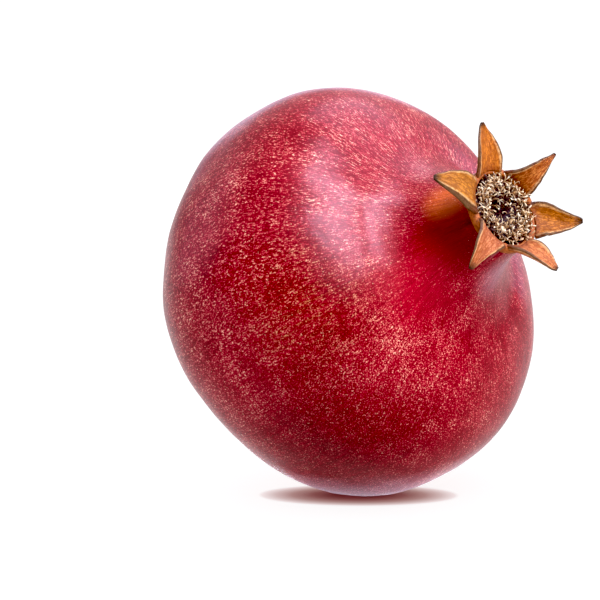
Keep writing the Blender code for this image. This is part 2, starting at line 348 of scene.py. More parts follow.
@dataclass(frozen=True)
class Shape:
    """The fruit's driving measures, which the solids in the frame were built from.

    Attributes:
        equator: Radius of the widest section.
        crown_half: Half height of the body on the crown's side.
        stem_half: Half height on the stem's side.
        square_across: Exponent of the outline's distance from the axis, and less than 1 is squarer.
        square_along: The same for its height.
        dimple_depth: Depth of the dimple at the stem.
        dimple_radius: Its radius.
        lobes: Flat sides and ridges, as (how many, share of the radius, azimuth of one ridge).
        lobes_from: Distance from the axis, on the crown's side, at which the lobes begin.
        lobes_full: Where they are at their full height.
        shoulder: Distance from the axis where the neck's curve leaves the body.
        shoulder_pull: How firmly that curve keeps the body's direction.
        neck_pull: How firmly it keeps the neck's direction.
        neck_flare: How much the neck widens towards the rim.
        rim_height: Height of the rim over the body's middle.
        rim_outer: Outer radius of the rim.
        rim_inner: Inner radius of the rim.
        cup_floor: Height of the cup's floor.
    """

    equator: float = 49.8 * MM
    crown_half: float = 36.1 * MM
    stem_half: float = 42.7 * MM
    square_across: float = 0.967
    square_along: float = 0.845
    dimple_depth: float = 1.4 * MM
    dimple_radius: float = 6.0 * MM
    lobes: tuple = ((2, 0.0362, 171.0), (3, 0.0206, 21.0), (5, 0.0122, 53.0))
    lobes_from: float = 14.0 * MM
    lobes_full: float = 32.0 * MM
    shoulder: float = 26.0 * MM
    shoulder_pull: float = 9.0 * MM
    neck_pull: float = 11.0 * MM
    neck_flare: float = 0.7 * MM
    rim_height: float = 53.2 * MM
    rim_outer: float = 10.8 * MM
    rim_inner: float = 9.2 * MM
    cup_floor: float = 44.4 * MM

    def shoulder_latitude(self) -> float:
        """The latitude in radians where the neck's curve leaves the body."""
        return math.acos((self.shoulder / self.equator) ** (1 / self.square_across))

    def dimple_floor(self) -> float:
        """Height of the bottom of the dimple at the stem."""
        return self.dimple_depth - self.stem_half

    def body_point(self, latitude: float) -> Vector:
        """Finds a point on the body's outline.

        Args:
            latitude: Over the widest section, in radians.

        Returns:
            Its distance from the axis and its height.
        """
        along = math.sin(latitude)
        half = self.crown_half if along > 0 else self.stem_half
        distance = self.equator * max(math.cos(latitude), 0.0) ** self.square_across
        return Vector((distance, math.copysign(half * abs(along) ** self.square_along, along)))

    def neck_point(self, share: float) -> Vector:
        """Finds a point on the neck's outline.

        Args:
            share: From 0 at the shoulder to 1 at the rim.

        Returns:
            Its distance from the axis and its height.
        """
        latitude = self.shoulder_latitude()
        start = self.body_point(latitude)
        tangent = (self.body_point(latitude + 0.001) - start).normalized()
        end = Vector((self.rim_outer, self.rim_height))
        low_pull = start + tangent * self.shoulder_pull
        high_pull = end + Vector((self.neck_flare, -self.neck_pull))
        back = 1 - share
        return (
            start * back**3
            + low_pull * 3 * back * back * share
            + high_pull * 3 * back * share * share
            + end * share**3
        )

    def lobe_factor(self, azimuth: float, distance: float, height: float) -> float:
        """Works out what the flat sides and ridges make of the radius at a point.

        Args:
            azimuth: The point's azimuth in degrees.
            distance: Its distance from the axis.
            height: Its height.

        Returns:
            A factor for the radius.
        """
        share = smooth_step(self.lobes_from, self.lobes_full, distance) if height > 0 else 1.0
        waves = (
            amount * math.cos(math.radians(count * (azimuth - ridge)))
            for count, amount, ridge in self.lobes
        )
        return 1 + share * sum(waves)


# ---- finishes ---------------------------------------------------------------------------------------


@dataclass(frozen=True)
class Area:
    """A soft round area of the skin.

    Attributes:
        centre: Its middle on the upright fruit, in millimetres.
        radius: Where it has faded out, in millimetres.
        amount: How much there is of it at its middle.
    """

    centre: tuple[float, float, float]
    radius: float
    amount: float

    def share(self, tree: Tree, place: Source) -> Node:
        """Adds the nodes that tell how much of the area there is.

        Args:
            tree: The material's node tree.
            place: The place on the upright fruit in millimetres.

        Returns:
            From 0 to the amount.
        """
        distance = add_node(tree, "VectorMath", {0: place, 1: self.centre}, operation="DISTANCE")
        values = {
            "Value": distance,
            "From Min": self.radius,
            "From Max": self.radius * 0.15,
            "To Max": self.amount,
        }
        return add_node(tree, "MapRange", values, interpolation_type="SMOOTHSTEP")


class Blend(Enum):
    """Ways in which one colour is laid over another."""

    MIX = "MIX"
    MULTIPLY = "MULTIPLY"


@dataclass(frozen=True)
class Patch(Area):
    """An area of the skin that is tinted its own way; some hold the skin's own colour, others painted light
    and shade.

    Attributes:
        colour: The colour that it goes to, or that it multiplies by.
        blend: How the colour is laid over the skin's.
    """

    colour: str
    blend: Blend = Blend.MIX


@dataclass(frozen=True)
class RindFinish:
    """Ripe pomegranate skin: smooth, waxy and leathery over a spongy pith.

    It grew in streaks that run from the crown to the stem, crimson between fine buff dashes, and is
    dotted with pale pores. Wax gives it a broad soft gloss.

    Attributes:
        axis: How the fruit lies.
        roughness: Of the wax, which blurs a window to a soft patch.
        girth: Radius in millimetres of the circle that streaks are drawn round.
        patches: Tinted areas of the skin: its own russet, darker red and orange, and painted shade, painted
            light and a painted reflection.
        crowding: Areas where the dashes are crowded, over 0, or sparse; 0.05 is a lot.
        speckled: Round this place the dashes are round specks.
    """

    axis: FruitAxis
    roughness: float = 0.29
    girth: float = 40.0
    patches: tuple[Patch, ...] = (
        # Painted shade: the side that the lean turns down is darkened.
        Patch((40.0, -30.0, 6.0), 36.0, 1.0, "#B89098", Blend.MULTIPLY),
        Patch((8.0, -41.0, 21.0), 26.0, 1.0, "#BCAC84", Blend.MULTIPLY),
        Patch((-15.5, -40.0, 20.0), 18.0, 1.0, "#E6DAD8", Blend.MULTIPLY),
        # Partly the skin's own clear red under the lower sepals, partly painted light that lifts the shade
        # of the neck's hollow.
        Patch((10.0, -17.0, 36.0), 16.0, 0.50, "#B41A30"),
        Patch((-6.5, -9.8, 47.2), 8.5, 0.88, "#F07836"),
        # Painted reflection: a pale lavender sheen on the neck's right side.
        Patch((14.5, 3.0, 44.0), 9.0, 0.35, "#D8A6BE"),
        # Painted shadow of the two lower sepals and the furrow between them, over the neck's own deep red.
        Patch((1.5, -12.0, 47.2), 10.5, 0.95, "#5A0806"),
    )
    crowding: tuple[Area, ...] = (
        Area((9.0, -16.0, 37.0), 20.0, -0.048),
        Area((3.0, -12.0, 46.0), 13.0, -0.08),
        Area((32.0, 10.0, 26.0), 38.0, -0.035),
        Area((42.0, -26.0, 6.0), 38.0, -0.04),
        Area((-46.0, -10.0, 8.0), 30.0, -0.02),
        Area((8.0, -28.0, 32.0), 15.0, 0.03),
        Area((25.0, -24.0, 27.0), 17.0, 0.02),
    )
    speckled: tuple[float, float, float] = (42.0, -10.0, 10.0)

    def material(self) -> bpy.types.Material:
        """Builds the material.

        Returns:
            The material.
        """
        made = bpy.data.materials.new("waxy_pomegranate_rind")
        tree = cleared_tree(made)
        place = self.axis.local_millimetres(tree)
        short = self._along_meridians(tree, place, 0.45)
        long = self._along_meridians(tree, place, 0.12)
        values = {"Vector": long, "Scale": 1.5, "Detail": 3.0, "Roughness": 0.6}
        streaks = add_node(tree, "TexNoise", values)
        crowds = self._crowds(tree, place, streaks)
        colour, dashes = self._dashes(tree, place, self._ground(tree, place, long), short, crowds)
        values = {"Value": streaks, "From Min": 0.40, "From Max": 0.60, "To Min": 0.40}
        fibres = add_node(tree, "MapRange", values)
        # Some of these patches are painted shade, painted light and a painted reflection laid into the
        # skin's colour.
        for patch in self.patches:
            share = patch.share(tree, place)
            share = add_node(tree, "Math", {0: share, 1: fibres}, operation="MULTIPLY")
            values = {"Factor": share, 6: colour, 7: patch.colour}
            colour = add_node(tree, "Mix", values, data_type="RGBA", blend_type=patch.blend.value)
        values = {
            "Base Color": self._pores(tree, place, colour, crowds),
            "Roughness": self.roughness,
            "IOR": 1.45,
            "Specular IOR Level": 0.16,
            "Normal": self._relief(tree, place, dashes, streaks),
        }
        shader = add_node(tree, "BsdfPrincipled", values)
        add_node(tree, "OutputMaterial", {"Surface": shader})
        return made

    def _along_meridians(self, tree: Tree, place: Source, along: float) -> Node:
        """Adds nodes for a place that changes fast round the axis and slowly along it.

        Args:
            tree: The material's node tree.
            place: The place on the upright fruit in millimetres.
            along: How fast it changes along the axis, as a share of the pace round it.

        Returns:
            The place, in millimetres round the girth.
        """
        flat = add_node(tree, "VectorMath", {0: place, 1: (1, 1, 0)}, operation="MULTIPLY")
        unit = add_node(tree, "VectorMath", {0: flat}, operation="NORMALIZE")
        lift = add_node(tree, "VectorMath", {0: place, 1: (0, 0, along)}, operation="MULTIPLY")
        values = {0: unit, 1: (self.girth,) * 3, 2: lift}
        return add_node(tree, "VectorMath", values, operation="MULTIPLY_ADD")

    @staticmethod
    def _ground(tree: Tree, place: Source, long: Source) -> Node:
        """Adds the ground colour: crimson that drifts between deep and rosy in broad soft bands.

        Args:
            tree: The material's node tree.
            place: The place on the upright fruit in millimetres.
            long: The place that long streaks follow.

        Returns:
            The colour.
        """
        values = {"Vector": long, "Scale": 0.22, "Detail": 4.0, "Roughness": 0.6}
        band = add_node(tree, "TexNoise", values)
        values = {"Vector": place, "Scale": 0.06, "Detail": 2.0, "Roughness": 0.5}
        cloud = add_node(tree, "TexNoise", values)
        both = add_node(tree, "Math", {0: band, 1: cloud}, operation="ADD")
        half = add_node(tree, "Math", {0: both, 1: 0.5}, operation="MULTIPLY")
        stops = ((0.38, "#820414"), (0.50, "#8C061A"), (0.62, "#960A20"))
        return add_node(tree, "ValToRGB", {"Fac": half}, stops)

    def _crowds(self, tree: Tree, place: Source, streaks: Source) -> Node:
        """Adds how crowded the dashes are, by drift, streaks and the crowded and sparse areas.

        Args:
            tree: The material's node tree.
            place: The place on the upright fruit in millimetres.
            streaks: The long streaks.

        Returns:
            What is added to the dashes' strength.
        """
        values = {"Vector": place, "Scale": 0.16, "Detail": 3.0, "Roughness": 0.6}
        drift = add_node(tree, "TexNoise", values)
        both = add_node(tree, "Math", {0: drift, 1: streaks}, operation="ADD")
        values = {"Value": both, "From Min": 0.70, "From Max": 1.30, "To Min": -0.055, "To Max": 0.045}
        total = add_node(tree, "MapRange", values)
        for area in self.crowding:
            total = add_node(tree, "Math", {0: total, 1: area.share(tree, place)}, operation="ADD")
        return total

    def _dashes(
        self, tree: Tree, place: Source, ground: Source, short: Source, crowds: Source
    ) -> tuple[Node, Node]:
        """Adds marks a third of a millimetre wide, drawn out to dashes or round as specks.

        Args:
            tree: The material's node tree.
            place: The place on the upright fruit in millimetres.
            ground: The colour under the dashes.
            short: The place that short dashes follow.
            crowds: How crowded the dashes are.

        Returns:
            The colour with the dashes, and how strong they are.
        """
        values = {"Vector": short, "Scale": 3.1, "Detail": 2.0, "Roughness": 0.7}
        drawn_out = add_node(tree, "TexNoise", values)
        values = {"Vector": place, "Scale": 2.9, "Detail": 2.0, "Roughness": 0.7}
        grainy = add_node(tree, "TexNoise", values)
        distance = add_node(tree, "VectorMath", {0: place, 1: self.speckled}, operation="DISTANCE")
        values = {"Value": distance, "From Min": 62.0, "From Max": 25.0, "To Min": 0.30, "To Max": 0.82}
        share = add_node(tree, "MapRange", values)
        fine = add_node(tree, "Mix", {"Factor": share, 2: drawn_out, 3: grainy})
        strength = add_node(tree, "Math", {0: fine, 1: crowds}, operation="ADD")
        values = {"Value": strength, "From Min": 0.50, "From Max": 0.43, "To Max": 0.65}
        deep = add_node(tree, "MapRange", values)
        dark = add_node(tree, "Mix", {"Factor": deep, 6: ground, 7: "#600010"}, data_type="RGBA")
        stops = ((0.52, "#A00A2C"), (0.57, "#BC404E"), (0.62, "#DC9080"), (0.68, "#F6DABC"))
        tint = add_node(tree, "ValToRGB", {"Fac": strength}, stops)
        share = add_node(tree, "MapRange", {"Value": strength, "From Min": 0.49, "From Max": 0.53})
        light = add_node(tree, "Mix", {"Factor": share, 6: dark, 7: tint}, data_type="RGBA")
        return light, strength

    @staticmethod
    def _pores(tree: Tree, place: Source, colour: Source, crowds: Source) -> Node:
        """Adds the pale pores, dots a quarter of a millimetre wide, where dashes aren't sparse.

        Args:
            tree: The material's node tree.
            place: The place on the upright fruit in millimetres.
            colour: The colour round the pores.
            crowds: How crowded the dashes are.

        Returns:
            The colour with the pores.
        """
        cells = add_node(tree, "TexVoronoi", {"Vector": place, "Scale": 0.85})
        values = {"Value": cells.outputs["Distance"], "From Min": 0.15, "From Max": 0.07}
        dot = add_node(tree, "MapRange", values)
        own = add_node(tree, "Math", {0: dot, 1: cells.outputs["Color"]}, operation="MULTIPLY")
        share = add_node(tree, "MapRange", {"Value": crowds, "From Min": -0.05, "From Max": -0.01})
        seen = add_node(tree, "Math", {0: own, 1: share}, operation="MULTIPLY")
        return add_node(tree, "Mix", {"Factor": seen, 6: colour, 7: "#F4C8A4"}, data_type="RGBA")

    @staticmethod
    def _relief(tree: Tree, place: Source, dashes: Source, streaks: Source) -> Node:
        """Adds the grain of the skin, a few hundredths of a millimetre deep.

        Args:
            tree: The material's node tree.
            place: The place on the upright fruit in millimetres.
            dashes: How strong the dashes are.
            streaks: The long streaks.

        Returns:
            The normal.
        """
        # The real grain is too fine to show, so it is drawn about a millimetre wide.
        grain = add_node(tree, "TexNoise", {"Vector": place, "Scale": 0.9, "Detail": 3.0})
        values = {"Strength": 0.25, "Distance": 0.15 * MM, "Height": grain}
        normal = add_node(tree, "Bump", values)
        for height, depth in ((streaks, 0.12 * MM), (dashes, 0.08 * MM)):
            values = {"Strength": 0.35, "Distance": depth, "Height": height, "Normal": normal}
            normal = add_node(tree, "Bump", values)
        return normal


@dataclass(frozen=True)
class SepalFinish:
    """A dried sepal: thin leathery tissue, orange-tan inside, browner outside, scorched at its tip.

    Fine veins run from its root to its tip, and its rim has dried darker.

    Attributes:
        name: The material's name.
        pale: Colour of the open tissue.
        deep: Colour between the veins and of the net of fine veins.
        fold: How much wider the browned line is on its anticlockwise side, where it has
            folded back, as a share of the sepal's width.
    """

    name: str
    pale: str
    deep: str
    fold: float = 0.0

    def material(self) -> bpy.types.Material:
        """Builds the material, which reads the sepal's own UV map: across in U, along in V.

        Returns:
            The material.
        """
        made = bpy.data.materials.new(self.name)
        tree = cleared_tree(made)
        where = add_node(tree, "TexCoord", {})
        flat = where.outputs["UV"]
        split = add_node(tree, "SeparateXYZ", {0: flat})
        drawn_out = add_node(tree, "Mapping", {"Vector": flat, "Scale": (22.0, 3.5, 1.0)})
        values = {"Vector": drawn_out, "Scale": 1.0, "Detail": 3.0, "Roughness": 0.6}
        veins = add_node(tree, "TexNoise", values)
        values = {"Vector": where.outputs["Object"], "Scale": 900.0, "Detail": 4.0, "Roughness": 0.65}
        mottle = add_node(tree, "TexNoise", values)
        both = add_node(tree, "Math", {0: veins, 1: mottle}, operation="ADD")
        tissue = add_node(tree, "MapRange", {"Value": both, "From Min": 0.80, "From Max": 1.15})
        values = {"Factor": tissue, 6: self.deep, 7: self.pale}
        colour = add_node(tree, "Mix", values, data_type="RGBA")
        net = self._net(tree, flat)
        colour = add_node(tree, "Mix", {"Factor": net, 6: colour, 7: self.deep}, data_type="RGBA")
        across = split.outputs["X"]
        values = {"Value": across, "From Min": 0.55, "From Max": 0.75, "To Max": self.fold}
        shifted = add_node(tree, "MapRange", values)
        across = add_node(tree, "Math", {0: across, 1: shifted}, operation="ADD")
        colour = self._rim(tree, across, mottle, colour)
        colour = self._ends(tree, split.outputs["Y"], mottle, colour)
        coarse = add_node(tree, "Bump", {"Strength": 0.7, "Distance": 0.3 * MM, "Height": both})
        values = {"Strength": 0.5, "Distance": 0.1 * MM, "Height": net, "Normal": coarse}
        fine = add_node(tree, "Bump", values)
        values = {
            "Base Color": colour,
            "Roughness": 0.62,
            "IOR": 1.45,
            "Specular IOR Level": 0.25,
            "Normal": fine,
        }
        shader = add_node(tree, "BsdfPrincipled", values)
        add_node(tree, "OutputMaterial", {"Surface": shader})
        return made

    @staticmethod
    def _net(tree: Tree, flat: Source) -> Node:
        """Adds the net of fine veins, whose meshes are about 1 mm by 2 mm.

        Args:
            tree: The material's node tree.
            flat: The sepal's own UV map.

        Returns:
            How much of a vein there is, from 0 to 0.9.
        """
        sway = add_node(tree, "TexNoise", {"Vector": flat, "Scale": 9.0, "Detail": 2.0})
        values = {0: sway.outputs["Color"], 1: (0.10, 0.06, 0.0), 2: flat}
        bent = add_node(tree, "VectorMath", values, operation="MULTIPLY_ADD")
        stretched = add_node(tree, "Mapping", {"Vector": bent, "Scale": (11.0, 6.5, 1.0)})
        values = {"Vector": stretched, "Scale": 1.0}
        meshes = add_node(tree, "TexVoronoi", values, feature="DISTANCE_TO_EDGE")
        values = {"Value": meshes, "From Min": 0.14, "From Max": 0.03, "To Max": 0.9}
        return add_node(tree, "MapRange", values)

    @staticmethod
    def _rim(tree: Tree, across: Source, mottle: Source, colour: Source) -> Node:
        """Adds a broken cream line inside both edges and a browned one on them.

        Args:
            tree: The material's node tree.
            across: The place across the sepal, from 0 to 1.
            mottle: The mottling that breaks the cream line up.
            colour: The colour of the open tissue.

        Returns:
            The colour with its rims.
        """
        from_middle = add_node(tree, "Math", {0: across, 1: 0.5}, operation="SUBTRACT")
        distance = add_node(tree, "Math", {0: from_middle}, operation="ABSOLUTE")
        near = add_node(tree, "MapRange", {"Value": distance, "From Min": 0.39, "From Max": 0.44})
        values = {"Value": mottle, "From Min": 0.30, "From Max": 0.55, "To Max": 0.55}
        broken = add_node(tree, "MapRange", values)
        cream = add_node(tree, "Math", {0: near, 1: broken}, operation="MULTIPLY")
        values = {"Value": distance, "From Min": 0.45, "From Max": 0.48, "To Max": 0.85}
        brown = add_node(tree, "MapRange", values)
        for share, code in ((cream, "#F0C894"), (brown, "#3A1A0A")):
            colour = add_node(tree, "Mix", {"Factor": share, 6: colour, 7: code}, data_type="RGBA")
        return colour

    @staticmethod
    def _ends(tree: Tree, along: Source, mottle: Source, colour: Source) -> Node:
        """Adds the dark dried tip and the red-brown root.

        Args:
            tree: The material's node tree.
            along: The place along the sepal, from its root at 0 to its tip at 1.
            mottle: The mottling that frays both.
            colour: The colour between them.

        Returns:
            The colour with both.
        """
        sway = add_node(tree, "Math", {0: mottle, 1: 0.16, 2: along}, operation="MULTIPLY_ADD")
        for near, far, most, code in ((0.30, 0.10, 0.65, "#6A2810"), (0.94, 1.06, 0.9, "#2A1A10")):
            values = {"Value": sway, "From Min": near, "From Max": far, "To Max": most}
            share = add_node(tree, "MapRange", values)
            colour = add_node(tree, "Mix", {"Factor": share, 6: colour, 7: code}, data_type="RGBA")
        return colour


@dataclass(frozen=True)
class ThreadFinish:
    """Dried stamen threads: papery, maroon where they are rooted and cream at their curled ends.

    Attributes:
        name: The material's name.
        length_stops: Colours from a thread's root to its end.
        tone_stops: Colours that multiply them, from the darkest thread to the palest.
    """

    name: str = "dry_stamen_thread"
    length_stops: tuple = ((0.05, "#2A0A0C"), (0.35, "#6E3E2C"), (0.62, "#CCA67C"), (0.9, "#FCF2E0"))
    tone_stops: tuple = ((0.0, "#44202A"), (0.30, "#B08C5C"), (0.55, "#F2E4D0"), (0.9, "#FFFEFF"))

    def material(self) -> bpy.types.Material:
        """Builds the material, whose UV map holds each thread's own tone in U and its length in V.

        Returns:
            The material.
        """
        made = bpy.data.materials.new(self.name)
        tree = cleared_tree(made)
        where = add_node(tree, "TexCoord", {})
        split = add_node(tree, "SeparateXYZ", {0: where.outputs["UV"]})
        length = add_node(tree, "ValToRGB", {"Fac": split.outputs["Y"]}, self.length_stops)
        tone = add_node(tree, "ValToRGB", {"Fac": split.outputs["X"]}, self.tone_stops)
        values = {"Factor": 1.0, 6: length, 7: tone}
        colour = add_node(tree, "Mix", values, data_type="RGBA", blend_type="MULTIPLY")
        values = {"Base Color": colour, "Roughness": 0.75, "IOR": 1.45}
        shader = add_node(tree, "BsdfPrincipled", values)
        add_node(tree, "OutputMaterial", {"Surface": shader})
        return made


@dataclass(frozen=True)
class DryTissueFinish:
    """Dried plant tissue of two mixed tones, matt and finely wrinkled.

    Attributes:
        name: The material's name.
        dark: The darker tone.
        pale: The paler tone.
        grain: Size of the mottling in millimetres.
        depth: Depth of the wrinkles in millimetres.
    """

    name: str
    dark: str
    pale: str
    grain: float
    depth: float

    def material(self) -> bpy.types.Material:
        """Builds the material.

        Returns:
            The material.
        """
        made = bpy.data.materials.new(self.name)
        tree = cleared_tree(made)
        where = add_node(tree, "TexCoord", {})
        values = {
            "Vector": where.outputs["Object"],
            "Scale": 1 / (self.grain * MM),
            "Detail": 4.0,
            "Roughness": 0.6,
        }
        mottle = add_node(tree, "TexNoise", values)
        colour = add_node(tree, "ValToRGB", {"Fac": mottle}, ((0.38, self.dark), (0.62, self.pale)))
        values = {"Strength": 0.6, "Distance": self.depth * MM, "Height": mottle}
        bump = add_node(tree, "Bump", values)
        values = {"Base Color": colour, "Roughness": 0.8, "IOR": 1.45, "Normal": bump}
        shader = add_node(tree, "BsdfPrincipled", values)
        add_node(tree, "OutputMaterial", {"Surface": shader})
        return made


# ---- rind -------------------------------------------------------------------------------------------


@dataclass
class Rind:
    """The body, its neck and the cup in the neck's end, in one skin.

    Attributes:
        axis: How the fruit lies.
        shape: The fruit's measures.
        steps: Steps round the axis.
        body_rows: Rows from the stem to the shoulder.
        neck_rows: Rows up the neck.
        cup: The cup's side as (distance from the axis, height) in millimetres.
        lip: Width of the bevels of the neck's rim.
        waves: Small waves of the skin, as (height, how fast they come along a metre).
        sink: How far it is all sunk, to keep the highest waves within the plain fruit's size.
        rib_height: Height of the faint ribs that swell and fade along the meridians.
        rib_pace: How fast the ribs come round the axis and along a metre of it.
        rib_span: Distances from the axis at which they begin and are at their full height.
        furrows: Azimuths of the furrows that run down the neck between the sepals, and their depth.
        floor_blend: Softness of the edge of the resting spot.
    """

    axis: FruitAxis
    shape: Shape
    steps: int = 340
    body_rows: int = 190
    neck_rows: int = 60
    cup: tuple = ((4.2, 44.7), (7.0, 46.0), (8.5, 48.8), (9.0, 51.2))
    lip: float = 0.4 * MM
    waves: tuple = ((0.16 * MM, 75), (0.05 * MM, 260))
    sink: float = 0.14 * MM
    rib_height: float = 0.35 * MM
    rib_pace: tuple[float, float] = (3.2, 9.0)
    rib_span: tuple[float, float] = (12 * MM, 30 * MM)
    furrows: tuple = (
        (34.0, 0.35 * MM),
        (94.0, 0.30 * MM),
        (156.0, 0.35 * MM),
        (212.0, 0.45 * MM),
        (274.5, 1.30 * MM),
        (338.0, 0.45 * MM),
    )
    floor_blend: float = 0.4 * MM

    def outline(self) -> list[Vector]:
        """Draws the outline from the cup's floor over the rim and down to the stem.

        Returns:
            Points as (distance from the axis, height).
        """
        shape = self.shape
        points = [Vector((0, shape.cup_floor))]
        points += [Vector((distance * MM, height * MM)) for distance, height in self.cup]
        points += [
            Vector((shape.rim_inner, shape.rim_height - self.lip)),
            Vector((shape.rim_inner + self.lip, shape.rim_height)),
            Vector((shape.rim_outer - self.lip, shape.rim_height)),
        ]
        points += [
            shape.neck_point(1 - (row + 0.5) / self.neck_rows) for row in range(self.neck_rows)
        ]
        top = shape.shoulder_latitude()
        for row in range(self.body_rows + 1):
            point = shape.body_point(top - (top + math.pi / 2) * row / self.body_rows)
            point.y += shape.dimple_depth * bell(point.x, shape.dimple_radius)
            points.append(point)
        points[-1].x = 0.0
        return points

    def lobed(self, point: Vector) -> Vector:
        """Moves a point of the round fruit out or in to the flat sides and ridges.

        Args:
            point: A point of the upright fruit.

        Returns:
            Its new place.
        """
        azimuth, distance = polar(point)
        factor = self.shape.lobe_factor(math.degrees(azimuth), distance, point.z)
        return Vector((point.x * factor, point.y * factor, point.z))

    def relief(self, point: Vector) -> float:
        """How far the skin stands over its plain shape there.

        Args:
            point: A point of the upright fruit.

        Returns:
            The lift along the skin's normal.
        """
        azimuth, distance = polar(point)
        lift = sum(height * noise.noise(point * pace) for height, pace in self.waves) - self.sink
        around, along = self.rib_pace
        ribs = Vector((point.x, point.y, 0)).normalized() * around + Vector((0, 0, point.z * along))
        lift += self.rib_height * noise.noise(ribs) * smooth_step(*self.rib_span, distance)
        for furrow, depth in self.furrows:
            # A deeper furrow is also longer and wider.
            length, width = 5 * MM + depth * 7, 0.55 * MM + depth * 0.3
            fade = 1 - smooth_step(0, length, self.shape.rim_height - point.z)
            across = math.radians(azimuth_gap(math.degrees(azimuth), furrow)) * distance
            lift -= depth * fade * bell(across, width)
        return lift * smooth_step(self.shape.rim_inner, self.shape.rim_outer, distance)

    def settled(self, point: Vector) -> Vector:
        """Presses a point of the lying fruit up to the table."""
        return Vector((point.x, point.y, smooth_floor(point.z, self.floor_blend)))

    def build(self) -> None:
        """Models and dresses the rind."""
        piece = spun("rind_skin", self.outline(), self.steps)
        move_points(piece, self.lobed)
        push_along_normals(piece, self.relief)
        piece.data.transform(self.axis.matrix())
        move_points(piece, self.settled)
        set_piece(piece, ["rind"], [RindFinish(self.axis).material()])


# ---- crown ------------------------------------------------------------------------------------------


@dataclass(frozen=True)
class Sepal:
    """One lobe of the crown, whose midrib bends from the ring by way of the knee to the tip.

    The knee and the tip are (distance from the axis, sideways, height over the root).

    Attributes:
        name: The piece's name.
        azimuth: Where it stands.
        knee: The point that its midrib is pulled towards.
        tip: Where its midrib ends.
        tip_half_width: Half the width of its tip.
        width: Its width as a share of the full one.
        fullness: A high one keeps its width further out.
        roll: The tip's turn about the midrib, in degrees.
        channel: How much the edges stand over the midrib.
        finish: Its inner face.
        curl: How far the edge on its anticlockwise side is rolled back.
    """

    name: str
    azimuth: float
    knee: tuple[float, float, float]
    tip: tuple[float, float, float]
    tip_half_width: float
    width: float
    fullness: float
    roll: float
    channel: float
    finish: SepalFinish
    curl: float


